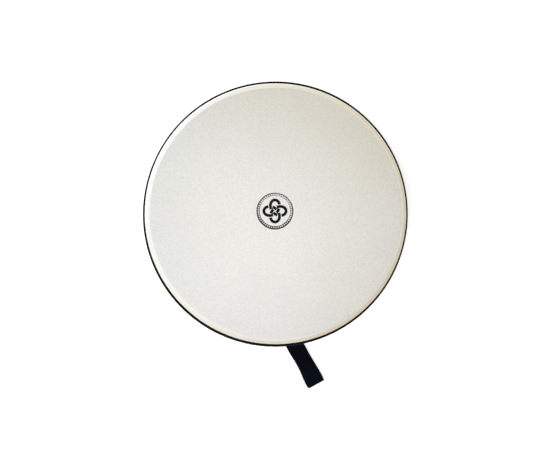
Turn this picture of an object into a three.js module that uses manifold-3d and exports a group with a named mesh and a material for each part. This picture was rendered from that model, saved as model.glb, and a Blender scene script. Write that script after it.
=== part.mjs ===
// Bodhran: an 18 inch Irish frame drum, tuned from inside.
//
// Frame, in millimetres: the origin is the centre of the playing face, +Z is
// the outward normal of the head, and the drum runs down to its open back edge.
// -Y is the side that the hanging strap is fixed to. The drum lies on its back
// edge, and the strap lies on the same surface.

import * as THREE from 'three';
import { mergeVertices } from 'three/addons/utils/BufferGeometryUtils.js';
import Module from 'manifold-3d';

const wasm = await Module();
wasm.setup();

// ---------------------------------------------------------------- dimensions
const SEG = 56;                 // sides of every ring, so that a flat lies behind each bracket
const GAP = 0.3;                // clearance between touching pieces
const BACK_Z = -92;             // open back edge, which the drum rests on

const HEAD_T = 1.0;             // skin thickness
const HEAD_FLAT_R = 218.6;      // radius of the flat playing area
const HEAD_OUT_R = 229.3;       // radius of the skirt
const HEAD_SKIRT_Z = -26;       // lower edge of the skirt

const SHELL_OUT_R = 228.0;
const SHELL_T = 7.0;            // bent ply wall
const SHELL_IN_R = SHELL_OUT_R - SHELL_T;
const SHELL_TOP_Z = -4.0;

const HOOP_IN_R = HEAD_OUT_R + GAP;
const HOOP_OUT_R = 232.7;
const HOOP_TOP_Z = -7.4;
const HOOP_BOT_Z = -27.5;

const TONE_OUT_R = 219.4;       // ring that lifts the head, free to slide in the shell
const TONE_IN_R = 206.0;
const TONE_TOP_Z = -HEAD_T - GAP;
const TONE_H = 18;

const STATIONS = 8;             // tuning stations, first at 22.5 degrees
const STATION_A0 = 22.5;
const BRACKET_W = 24;
const BRACKET_PLATE_T = 3;
const BRACKET_TOP_Z = -34;
const BRACKET_BOT_Z = -66;
const BRACKET_FLANGE_T = 7;
const BRACKET_REACH = 204.5;    // inner edge of the flange, from the axis
const BOLT_R_POS = 211.6;       // tuning bolt, from the axis
const BOLT_SHANK_R = 2.9;       // M6
const BOLT_SHANK_L = 40;
const BOLT_HEAD_R = 5.0;
const BOLT_HEAD_H = 6.0;
const BOLT_KEY_AF = 5.0;
const BOLT_KEY_DEPTH = 3.4;
const BRACKET_SCREW_Z = [-45.5, -57];
const M4_SHANK_R = 1.9;
const M4_HEAD_R = 3.9;
const M4_HEAD_H = 2.3;
const M4_KEY_AF = 2.5;
const M4_LENGTH = 11;

const BAR_W = 30;               // crossbar, along X
const BAR_T = 12;
const BAR_Z = -76;              // middle of the bar
const BAR_R = 3.5;              // corner radius
const BAR_SCREW_L = 34;
const BAR_SCREW_R = 2.1;
const WASHER_R = 8.5;
const WASHER_T = 1.2;

const STRAP_W = 30;             // webbing width
const STRAP_HT = 1.6;           // half of the doubled thickness
const STRAP_ANGLE = 274.2;      // azimuth of its screw
const STRAP_LEAN = 24.3;        // how far it is swivelled about the screw
const STRAP_RISE = 36.3;        // height of the screw over the back edge
const STRAP_BEND_R = 12;
const STRAP_LENGTH = 124.6;     // screw to folded end
const STRAP_TAB = 13;           // run above the screw
const STRAP_HOLE_R = 3.4;
const STRAP_WASHER_R = 12;
const STRAP_WASHER_T = 1.6;
const M5_SHANK_R = 2.4;
const M5_LENGTH = 18;

const RAD = Math.PI / 180;

// ----------------------------------------------------------------- materials
const material = (color, roughness, metalness = 0) =>
  new THREE.MeshStandardMaterial({ color, roughness, metalness });
const PAINT = { head: [0xe6e3da, 0.62], hoop: [0x131416, 0.38], shell: [0x17181b, 0.45],
  tone: [0xb98c58, 0.6], bar: [0x1b1c1f, 0.5], zinc: [0xb9bcc0, 0.32, 1],
  oxide: [0x1d1e20, 0.42, 1], webbing: [0x14161d, 0.85] };
const paint = (key) => material(...PAINT[key]);

// ------------------------------------------------------------------- helpers
// One closed body facing out: vertices merged, slivers dropped.
function tidy(geometry) {
  let g = geometry.index ? geometry.clone() : geometry;
  for (const name of Object.keys(g.attributes)) if (name !== 'position') g.deleteAttribute(name);
  g = mergeVertices(g, 1e-4);
  const src = g.index.array;
  const idx = [];
  for (let i = 0; i < src.length; i += 3) {
    const [a, b, c] = [src[i], src[i + 1], src[i + 2]];
    if (a !== b && b !== c && c !== a) idx.push(a, b, c);
  }
  const p = g.attributes.position;
  let volume = 0;
  const [A, B, C] = [new THREE.Vector3(), new THREE.Vector3(), new THREE.Vector3()];
  for (let i = 0; i < idx.length; i += 3) {
    A.fromBufferAttribute(p, idx[i]);
    B.fromBufferAttribute(p, idx[i + 1]);
    C.fromBufferAttribute(p, idx[i + 2]);
    volume += A.dot(B.cross(C));
  }
  if (volume < 0) for (let i = 0; i < idx.length; i += 3) [idx[i + 1], idx[i + 2]] = [idx[i + 2], idx[i + 1]];
  g.setIndex(idx);
  return g;
}

function toSolid(geometry) {
  const g = tidy(geometry);
  return new wasm.Manifold(new wasm.Mesh({
    numProp: 3,
    vertProperties: new Float32Array(g.attributes.position.array),
    triVerts: new Uint32Array(g.index.array),
  }));
}

function fromSolid(solid) {
  const mesh = solid.getMesh();
  const g = new THREE.BufferGeometry();
  const n = mesh.vertProperties.length / mesh.numProp;
  const pos = new Float32Array(n * 3);
  for (let i = 0; i < n; i++) for (let k = 0; k < 3; k++) pos[3 * i + k] = mesh.vertProperties[i * mesh.numProp + k];
  g.setAttribute('position', new THREE.BufferAttribute(pos, 3));
  g.setIndex(Array.from(mesh.triVerts));
  return g;
}

function cut(base, ...tools) {
  let solid = toSolid(base);
  for (const t of tools) solid = solid.subtract(toSolid(t));
  return fromSolid(solid);
}

// Revolved about Z from [radius, z] pairs.
function turned(profile, segments = SEG) {
  const g = new THREE.LatheGeometry(profile.map(([r, z]) => new THREE.Vector2(r, z)), segments);
  return g.rotateX(Math.PI / 2);
}

// Closed ring section: the profile comes back to its first point.
const ring = (profile, segments = SEG) => turned([...profile, profile[0]], segments);

// Cylinder between two heights on the Z axis, radius over the corners.
function rod(r, z0, z1, sides = 12) {
  const g = new THREE.CylinderGeometry(r, r, z1 - z0, sides);
  return g.rotateX(Math.PI / 2).translate(0, 0, (z0 + z1) / 2);
}

// Cylinder along X between two distances.
const rodX = (r, x0, x1, sides = 12) => rod(r, x0, x1, sides).rotateY(Math.PI / 2);

// Hexagonal key socket along Z.
const keySocket = (acrossFlats, z0, z1) => rod(acrossFlats / 2 / Math.cos(30 * RAD), z0, z1, 6);

function piece(name, geometry, key) {
  const g = tidy(geometry);
  g.computeVertexNormals();
  const mesh = new THREE.Mesh(g, paint(key));
  mesh.name = name;
  return mesh;
}

// A group turned about Z to an azimuth, in which local +X points outwards.
function station(azimuth) {
  const g = new THREE.Group();
  g.rotation.z = azimuth * RAD;
  return g;
}

const root = new THREE.Group();

// ---------------------------------------------------------------------- head
// Flat face, a soft roll-over past the tone ring, and a skirt down the outside
// of the shell that the trim hoop clamps.
const headOuter = [[HEAD_FLAT_R, 0], [221.0, -0.38], [223.6, -1.3], [226.0, -2.85],
  [227.9, -5.1], [229.0, -8.0], [HEAD_OUT_R, -11], [HEAD_OUT_R, HEAD_SKIRT_Z]];
const headInner = [[HEAD_OUT_R - HEAD_T, HEAD_SKIRT_Z], [HEAD_OUT_R - HEAD_T, -11.1], [227.95, -8.4],
  [226.9, -5.7], [225.2, -3.7], [223.1, -2.25], [220.7, -1.38], [HEAD_FLAT_R - 0.2, -HEAD_T]];
root.add(piece('head', turned([[0, 0], ...headOuter, ...headInner, [0, -HEAD_T]]), 'head'));

// ----------------------------------------------------------------- trim hoop
root.add(piece('trim_hoop', ring([
  [HOOP_IN_R, HOOP_TOP_Z - 0.5], [HOOP_IN_R + 0.5, HOOP_TOP_Z], [HOOP_IN_R + 1.5, HOOP_TOP_Z - 0.3],
  [HOOP_OUT_R - 0.5, HOOP_TOP_Z - 1.6], [HOOP_OUT_R, HOOP_TOP_Z - 3.8],
  [HOOP_OUT_R, HOOP_BOT_Z + 0.9], [HOOP_OUT_R - 0.9, HOOP_BOT_Z], [HOOP_IN_R, HOOP_BOT_Z],
]), 'hoop'));

// --------------------------------------------------------------------- shell
const flatOut = SHELL_OUT_R * Math.cos(Math.PI / SEG);   // distance of a flat from the axis
const flatIn = SHELL_IN_R * Math.cos(Math.PI / SEG);
const stationAngles = Array.from({ length: STATIONS }, (_, k) => STATION_A0 + 360 / STATIONS * k);
const strapScrewZ = BACK_Z + STRAP_RISE;

const shellBlank = ring([
  [SHELL_OUT_R - 0.8, BACK_Z], [SHELL_OUT_R, BACK_Z + 0.8], [SHELL_OUT_R, -12],
  [227.5, -8.7], [226.4, -6.0], [225.0, -4.6], [223.6, SHELL_TOP_Z], [SHELL_IN_R + 0.8, SHELL_TOP_Z],
  [SHELL_IN_R, SHELL_TOP_Z - 0.8], [SHELL_IN_R, BACK_Z + 0.8], [SHELL_IN_R + 0.8, BACK_Z],
]);
const wallDrills = [];
for (const a of stationAngles)
  for (const z of BRACKET_SCREW_Z)
    wallDrills.push(rodX(M4_SHANK_R + 0.35, SHELL_IN_R - 4, SHELL_OUT_R + 4, 12).translate(0, 0, z).rotateZ(a * RAD));
for (const a of [0, 180])
  wallDrills.push(rodX(BAR_SCREW_R + 0.35, SHELL_IN_R - 4, SHELL_OUT_R + 4, 12).translate(0, 0, BAR_Z).rotateZ(a * RAD));
wallDrills.push(rodX(M5_SHANK_R + 0.35, SHELL_IN_R - 4, SHELL_OUT_R + 4, 12).translate(0, 0, strapScrewZ).rotateZ(STRAP_ANGLE * RAD));
root.add(piece('shell', cut(shellBlank, ...wallDrills), 'shell'));

// ----------------------------------------------------------------- tone ring
const toneBot = TONE_TOP_Z - TONE_H;
root.add(piece('tone_ring', ring([
  [TONE_OUT_R, toneBot + 0.8], [TONE_OUT_R, TONE_TOP_Z - 2.2], [TONE_OUT_R - 0.9, TONE_TOP_Z - 0.6],
  [TONE_OUT_R - 2.6, TONE_TOP_Z], [TONE_IN_R + 2.5, TONE_TOP_Z], [TONE_IN_R, TONE_TOP_Z - 2.0],
  [TONE_IN_R, toneBot], [TONE_OUT_R - 0.8, toneBot],
]), 'tone'));

// ----------------------------------------------------------- tuning stations
const plateX1 = flatIn - GAP;
const plateX0 = plateX1 - BRACKET_PLATE_T;
const flangeBot = BRACKET_TOP_Z - BRACKET_FLANGE_T;

function bracketGeometry() {
  const s = new THREE.Shape();
  s.moveTo(plateX1, BRACKET_BOT_Z);
  s.lineTo(plateX1, BRACKET_TOP_Z);
  s.lineTo(BRACKET_REACH + 1.2, BRACKET_TOP_Z);
  s.lineTo(BRACKET_REACH, BRACKET_TOP_Z - 1.2);
  s.lineTo(BRACKET_REACH, flangeBot + 1.2);
  s.lineTo(BRACKET_REACH + 1.2, flangeBot);
  s.lineTo(plateX0 - 1.4, flangeBot);
  s.lineTo(plateX0, flangeBot - 1.4);
  s.lineTo(plateX0, BRACKET_BOT_Z);
  s.closePath();
  const g = new THREE.ExtrudeGeometry(s, { depth: BRACKET_W, bevelEnabled: false, curveSegments: 4 });
  g.rotateX(Math.PI / 2).translate(0, BRACKET_W / 2, 0);
  const drills = [rod(BOLT_SHANK_R + 0.4, flangeBot - 6, BRACKET_TOP_Z + 2, 16).translate(BOLT_R_POS, 0, 0)];
  for (const z of BRACKET_SCREW_Z) drills.push(rodX(M4_SHANK_R + 0.35, plateX0 - 2, plateX1 + 2, 12).translate(0, 0, z));
  return cut(g, ...drills);
}

// Socket cap screw, tip up, key socket towards the open back.
const boltTipZ = toneBot - GAP;
function boltGeometry() {
  const shank = boltTipZ - BOLT_SHANK_L;
  const body = turned([[0, shank - BOLT_HEAD_H], [BOLT_HEAD_R - 0.5, shank - BOLT_HEAD_H],
    [BOLT_HEAD_R, shank - BOLT_HEAD_H + 0.5], [BOLT_HEAD_R, shank], [BOLT_SHANK_R, shank],
    [BOLT_SHANK_R, boltTipZ - 0.8], [BOLT_SHANK_R - 0.8, boltTipZ], [0, boltTipZ]], 12);
  const socket = keySocket(BOLT_KEY_AF, shank - BOLT_HEAD_H - 1, shank - BOLT_HEAD_H + BOLT_KEY_DEPTH);
  return cut(body, socket);
}

// Button head screw pointing along -X, the underside of its head at x = 0.
function buttonScrew(shankR, headR, headH, keyAF, length, sides = 12) {
  const body = turned([[0, -length], [shankR, -length], [shankR, 0], [headR, 0],
    [headR, headH * 0.35], [headR * 0.72, headH], [0, headH]], sides);
  const g = cut(body, keySocket(keyAF, headH * 0.42, headH + 1));
  return g.rotateY(Math.PI / 2);
}

stationAngles.forEach((a, k) => {
  const g = station(a);
  const n = k + 1;
  g.add(piece(`tuning_bracket_${n}`, bracketGeometry(), 'zinc'));
  const bolt = piece(`tuning_bolt_${n}`, boltGeometry(), 'oxide');
  bolt.position.x = BOLT_R_POS;
  g.add(bolt);
  BRACKET_SCREW_Z.forEach((z, i) => {
    const s = piece(`bracket_screw_${n}${'ab'[i]}`, buttonScrew(M4_SHANK_R, M4_HEAD_R, M4_HEAD_H, M4_KEY_AF, M4_LENGTH), 'oxide');
    s.position.set(flatOut + GAP, 0, z);
    g.add(s);
  });
  root.add(g);
});

// ------------------------------------------------------------------ crossbar
function barGeometry() {
  const s = new THREE.Shape();
  const [w, h, r] = [BAR_W / 2, BAR_T / 2, BAR_R];
  s.moveTo(-w + r, -h);
  s.lineTo(w - r, -h); s.absarc(w - r, -h + r, r, -Math.PI / 2, 0);
  s.lineTo(w, h - r); s.absarc(w - r, h - r, r, 0, Math.PI / 2);
  s.lineTo(-w + r, h); s.absarc(-w + r, h - r, r, Math.PI / 2, Math.PI);
  s.lineTo(-w, -h + r); s.absarc(-w + r, -h + r, r, Math.PI, Math.PI * 1.5);
  const L = 2 * SHELL_IN_R;
  const g = new THREE.ExtrudeGeometry(s, { depth: L, bevelEnabled: false, curveSegments: 3 });
  // shape x -> Y, shape y -> Z, length -> X
  g.applyMatrix4(new THREE.Matrix4().set(0, 0, 1, -L / 2, 1, 0, 0, 0, 0, 1, 0, BAR_Z, 0, 0, 0, 1));
  const inner = turned([[0, BAR_Z - 20], [SHELL_IN_R - GAP - 0.1, BAR_Z - 20], [SHELL_IN_R - GAP - 0.1, BAR_Z + 20], [0, BAR_Z + 20]]);
  let solid = toSolid(g).intersect(toSolid(inner));
  for (const a of [0, 180])
    solid = solid.subtract(toSolid(rodX(BAR_SCREW_R + 0.35, SHELL_OUT_R - BAR_SCREW_L, SHELL_IN_R + 2, 12)
      .translate(0, 0, BAR_Z).rotateZ(a * RAD)));
  return fromSolid(solid);
}
root.add(piece('crossbar', barGeometry(), 'bar'));

[0, 180].forEach((a, i) => {
  const g = station(a);
  const side = ['right', 'left'][i];
  const face = SHELL_OUT_R + GAP;
  const washer = ring([[BAR_SCREW_R + 0.4, 0], [WASHER_R, 0], [WASHER_R - 0.6, WASHER_T], [BAR_SCREW_R + 0.4, WASHER_T]], 20).rotateY(Math.PI / 2);
  const w = piece(`crossbar_washer_${side}`, washer, 'zinc');
  w.position.set(face, 0, BAR_Z);
  g.add(w);
  const s = piece(`crossbar_screw_${side}`, buttonScrew(BAR_SCREW_R, 4.6, 2.8, 3, BAR_SCREW_L - 4), 'zinc');
  s.position.set(face + WASHER_T + GAP, 0, BAR_Z);
  g.add(s);
  root.add(g);
});

// --------------------------------------------------------------------- strap
// Doubled webbing. It swivels on its screw, runs down the wall leaning by
// STRAP_LEAN, and bends out along a line that is parallel to the wall. Across
// that bend the surface is a cylinder, so a point at t along the wall and s
// down the unrolled profile keeps its flat distances.
const lean = STRAP_LEAN * RAD;
const strapN0 = GAP + 0.1 + STRAP_HT;                       // mid thickness, out from the wall
const strapFloor = BACK_Z + GAP + STRAP_HT;
const wallRun = strapScrewZ - (strapFloor + STRAP_BEND_R);  // screw to start of bend
const bendRun = STRAP_BEND_R * Math.PI / 2;
const splitS = wallRun + bendRun / 2;

// Profile point and outward normal at unrolled distance s, as [n, z, dn, dz].
function strapProfile(s) {
  if (s <= wallRun) return [strapN0, strapScrewZ - s, 1, 0];
  if (s >= wallRun + bendRun) return [strapN0 + STRAP_BEND_R + (s - wallRun - bendRun), strapFloor, 0, 1];
  const a = (s - wallRun) / STRAP_BEND_R;
  return [strapN0 + STRAP_BEND_R * (1 - Math.cos(a)), strapFloor + STRAP_BEND_R * (1 - Math.sin(a)), Math.cos(a), Math.sin(a)];
}

// A cross line of the strap, as two [t, s] ends, from a distance along it.
const squareLine = (u) => [-1, 1].map((v) => [
  u * Math.sin(lean) + v * STRAP_W / 2 * Math.cos(lean), u * Math.cos(lean) - v * STRAP_W / 2 * Math.sin(lean)]);
const bendLine = (s) => [-1, 1].map((v) => [s * Math.tan(lean) + v * STRAP_W / 2 / Math.cos(lean), s]);

// Solid through a list of [line, half thickness].
function strapSolid(lines) {
  const pos = [];
  for (const [ends, half] of lines)
    for (const side of [-1, 1])
      for (const e of (side < 0 ? [0, 1] : [1, 0])) {
        const [t, s] = ends[e];
        const [n, z, dn, dz] = strapProfile(s);
        pos.push(n + side * half * dn, t, z + side * half * dz);
      }
  const idx = [];
  const quad = (a, b, c, d) => idx.push(a, b, c, a, c, d);
  for (let i = 0; i + 1 < lines.length; i++)
    for (let k = 0; k < 4; k++) {
      const j = (k + 1) % 4;
      quad(4 * i + k, 4 * i + j, 4 * i + 4 + j, 4 * i + 4 + k);
    }
  const last = 4 * (lines.length - 1);
  quad(3, 2, 1, 0);
  quad(last, last + 1, last + 2, last + 3);
  const g = new THREE.BufferGeometry();
  g.setAttribute('position', new THREE.BufferAttribute(new Float32Array(pos), 3));
  g.setIndex(idx);
  return g;
}

const arcLines = (s0, s1, n) => Array.from({ length: n + 1 }, (_, i) => [bendLine(s0 + (s1 - s0) * i / n), STRAP_HT]);
const upperEnd = splitS - STRAP_HT - GAP;
const strapUpper = strapSolid([[squareLine(-STRAP_TAB), STRAP_HT], ...arcLines(wallRun, upperEnd, 2)]);
const strapTail = strapSolid([
  [bendLine(splitS - STRAP_HT * 0.9), STRAP_HT * 0.4], [bendLine(splitS - STRAP_HT * 0.5), STRAP_HT * 0.86],
  ...arcLines(splitS, wallRun + bendRun, 3), [squareLine(STRAP_LENGTH), STRAP_HT]]);

const strapGroup = station(STRAP_ANGLE);
const onWall = new THREE.Group();
onWall.position.x = SHELL_OUT_R;
strapGroup.add(onWall);
onWall.add(piece('strap_upper', cut(strapUpper, rodX(STRAP_HOLE_R, -4, 12, 16).translate(0, 0, strapScrewZ)), 'webbing'));
onWall.add(piece('strap_tail', strapTail, 'webbing'));

const strapFace = strapN0 + STRAP_HT + GAP;
const strapWasher = piece('strap_washer', ring([[M5_SHANK_R + 0.4, 0], [STRAP_WASHER_R, 0],
  [STRAP_WASHER_R - 0.7, STRAP_WASHER_T], [M5_SHANK_R + 0.4, STRAP_WASHER_T]], 24).rotateY(Math.PI / 2), 'oxide');
strapWasher.position.set(strapFace, 0, strapScrewZ);
onWall.add(strapWasher);
const strapScrew = piece('strap_screw', buttonScrew(M5_SHANK_R, 4.8, 2.9, 3, M5_LENGTH, 16), 'oxide');
strapScrew.position.set(strapFace + STRAP_WASHER_T + GAP, 0, strapScrewZ);
onWall.add(strapScrew);
const nutX = flatIn - 0.4 - SHELL_OUT_R;   // clear of the faceted inner wall
const nutWasher = piece('strap_nut_washer', ring([[M5_SHANK_R + 0.4, -1], [6.5, -1], [6.5, 0], [M5_SHANK_R + 0.4, 0]], 16).rotateY(Math.PI / 2), 'zinc');
nutWasher.position.set(nutX, 0, strapScrewZ);
onWall.add(nutWasher);
const nut = piece('strap_nut', cut(rodX(4.6, -4, 0, 6), rodX(M5_SHANK_R + 0.35, -5, 1, 16)), 'zinc');
nut.position.set(nutX - 1 - GAP, 0, strapScrewZ);
onWall.add(nut);

root.add(strapGroup);

export default root;
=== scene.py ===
"""Bodhran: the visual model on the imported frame. Lengths below are in millimetres unless a name says otherwise."""
import math
from math import cos, pi, radians, sin, sqrt, tan

import bpy
import numpy as np
from mathutils import Matrix, Vector
from mathutils.kdtree import KDTree


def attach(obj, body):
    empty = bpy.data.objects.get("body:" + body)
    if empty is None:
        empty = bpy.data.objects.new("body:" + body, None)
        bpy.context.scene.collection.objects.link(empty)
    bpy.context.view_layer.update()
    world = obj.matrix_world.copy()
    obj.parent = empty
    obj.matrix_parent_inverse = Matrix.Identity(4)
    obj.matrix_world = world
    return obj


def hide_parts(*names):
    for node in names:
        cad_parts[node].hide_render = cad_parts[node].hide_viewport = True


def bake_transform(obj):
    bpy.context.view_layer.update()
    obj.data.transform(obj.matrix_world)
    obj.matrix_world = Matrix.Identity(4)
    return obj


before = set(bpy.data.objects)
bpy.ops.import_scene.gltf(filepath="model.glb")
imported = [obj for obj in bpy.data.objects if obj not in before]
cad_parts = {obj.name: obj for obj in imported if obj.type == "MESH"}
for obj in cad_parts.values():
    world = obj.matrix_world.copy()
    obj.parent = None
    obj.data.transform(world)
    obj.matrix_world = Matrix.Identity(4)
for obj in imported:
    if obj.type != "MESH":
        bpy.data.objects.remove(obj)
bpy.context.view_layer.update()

MM = 0.001
BACK = -92.0
SHELL_R, SHELL_IN = 228.0, 221.0
HOOP_OUT = 232.7
scene = bpy.context.scene
rng = np.random.default_rng(17)


# ------------------------------------------------------------------ mesh tools
def new_object(name, verts, faces, material=None, sharp=35.0, smooth=True):
    """An object from millimetre vertices, smooth apart from edges over sharp degrees."""
    me = bpy.data.meshes.new(name)
    me.from_pydata([tuple(v) for v in np.asarray(verts, float) * MM], [], [tuple(int(i) for i in f) for f in faces])
    me.validate()
    me.polygons.foreach_set("use_smooth", [smooth] * len(me.polygons))
    if smooth:
        me.set_sharp_from_angle(angle=radians(sharp))
    me.update()
    ob = bpy.data.objects.new(name, me)
    scene.collection.objects.link(ob)
    if material is not None:
        me.materials.append(material)
    return ob


def lathe(name, profile, segments, material, closed=True, sharp=35.0, wobble=None):
    """Revolves [radius, z] about Z. closed joins the last point to the first; otherwise both ends are on the axis."""
    prof = np.asarray(profile, float)
    n = len(prof)
    ang = np.arange(segments) * 2 * pi / segments
    verts, index = [], np.zeros((n, segments), int)
    for i, (r, z) in enumerate(prof):
        if r < 1e-6:
            index[i, :] = len(verts)
            verts.append((0, 0, z))
            continue
        index[i, :] = len(verts) + np.arange(segments)
        rr, zz = np.full(segments, r), np.full(segments, z)
        if wobble is not None:
            dr, dz = wobble(r, z, ang)
            rr, zz = rr + dr, zz + dz
        verts += list(zip(rr * np.cos(ang), rr * np.sin(ang), zz))
    faces = []
    for i in range(n if closed else n - 1):
        a, b = index[i], index[(i + 1) % n]
        for j in range(segments):
            k = (j + 1) % segments
            f = [a[j], a[k], b[k], b[j]]
            f = [v for p, v in enumerate(f) if v != f[p - 1]]
            if len(f) > 2:
                faces.append(f)
    ob = new_object(name, verts, faces, material, sharp)
    face_out(ob)
    return ob


def face_out(ob):
    """Turns a closed mesh to face outwards."""
    import bmesh
    bm = bmesh.new()
    bm.from_mesh(ob.data)
    bmesh.ops.recalc_face_normals(bm, faces=bm.faces)
    if bm.calc_volume(signed=True) < 0:
        bmesh.ops.reverse_faces(bm, faces=bm.faces)
    bm.to_mesh(ob.data)
    bm.free()
    ob.data.update()


def spline(points, step):
    """Catmull-Rom through the points, resampled at about step."""
    p = np.asarray(points, float)
    p = np.vstack([2 * p[0] - p[1], p, 2 * p[-1] - p[-2]])
    out = []
    for i in range(1, len(p) - 2):
        m = max(1, int(round(np.linalg.norm(p[i + 1] - p[i]) / step)))
        for k in range(m):
            t = k / m
            out.append(0.5 * (2 * p[i] + (p[i + 1] - p[i - 1]) * t + (2 * p[i - 1] - 5 * p[i] + 4 * p[i + 1] - p[i + 2]) * t * t
                              + (3 * p[i] - p[i - 1] - 3 * p[i + 1] + p[i + 2]) * t ** 3))
    out.append(p[-2])
    return np.array(out)


def arc(cx, cz, r, a0, a1, n):
    """Points on a circle from a0 to a1 degrees."""
    return [(cx + r * cos(radians(a)), cz + r * sin(radians(a))) for a in np.linspace(a0, a1, n)]


def applied(ob):
    """Bakes an object's modifiers into its mesh."""
    dg = bpy.context.evaluated_depsgraph_get()
    me = bpy.data.meshes.new_from_object(ob.evaluated_get(dg))
    ob.modifiers.clear()
    old = ob.data
    ob.data = me
    me.name = ob.name
    bpy.data.meshes.remove(old)
    return ob


def bevelled(ob, width, segments=2, angle=32):
    m = ob.modifiers.new("edge", "BEVEL")
    m.width, m.segments, m.limit_method, m.angle_limit = width * MM, segments, "ANGLE", radians(angle)
    m.harden_normals = False
    return applied(ob)


def carve(ob, *tools):
    """Cuts the tools out of ob and removes them."""
    for t in tools:
        m = ob.modifiers.new("cut", "BOOLEAN")
        m.operation, m.solver, m.object = "DIFFERENCE", "EXACT", t
    applied(ob)
    for t in tools:
        bpy.data.objects.remove(t, do_unlink=True)
    # slivers that the cut leaves behind
    import bmesh
    bm = bmesh.new()
    bm.from_mesh(ob.data)
    bmesh.ops.remove_doubles(bm, verts=bm.verts, dist=1e-6)
    bmesh.ops.dissolve_degenerate(bm, dist=1e-6, edges=bm.edges)
    bm.to_mesh(ob.data)
    bm.free()
    ob.data.update()
    ob.data.polygons.foreach_set("use_smooth", [True] * len(ob.data.polygons))
    ob.data.set_sharp_from_angle(angle=radians(35))
    return ob


def prism(name, n, r, z0, z1, turn=0.0):
    a = np.arange(n) * 2 * pi / n + turn
    v = [(r * cos(t), r * sin(t), z) for z in (z0, z1) for t in a]
    f = [list(range(n))[::-1], list(range(n, 2 * n))]
    f += [[i, (i + 1) % n, n + (i + 1) % n, n + i] for i in range(n)]
    ob = new_object(name, v, f)
    face_out(ob)
    return ob


def copy_of(ob, name):
    c = bpy.data.objects.new(name, ob.data)
    scene.collection.objects.link(c)
    return c


def azimuth_matrix(az, r=0.0, z=0.0):
    """Local +X outwards at an azimuth in degrees, moved out by r and up by z."""
    return Matrix.Rotation(radians(az), 4, "Z") @ Matrix.Translation((r * MM, 0, z * MM))


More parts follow.
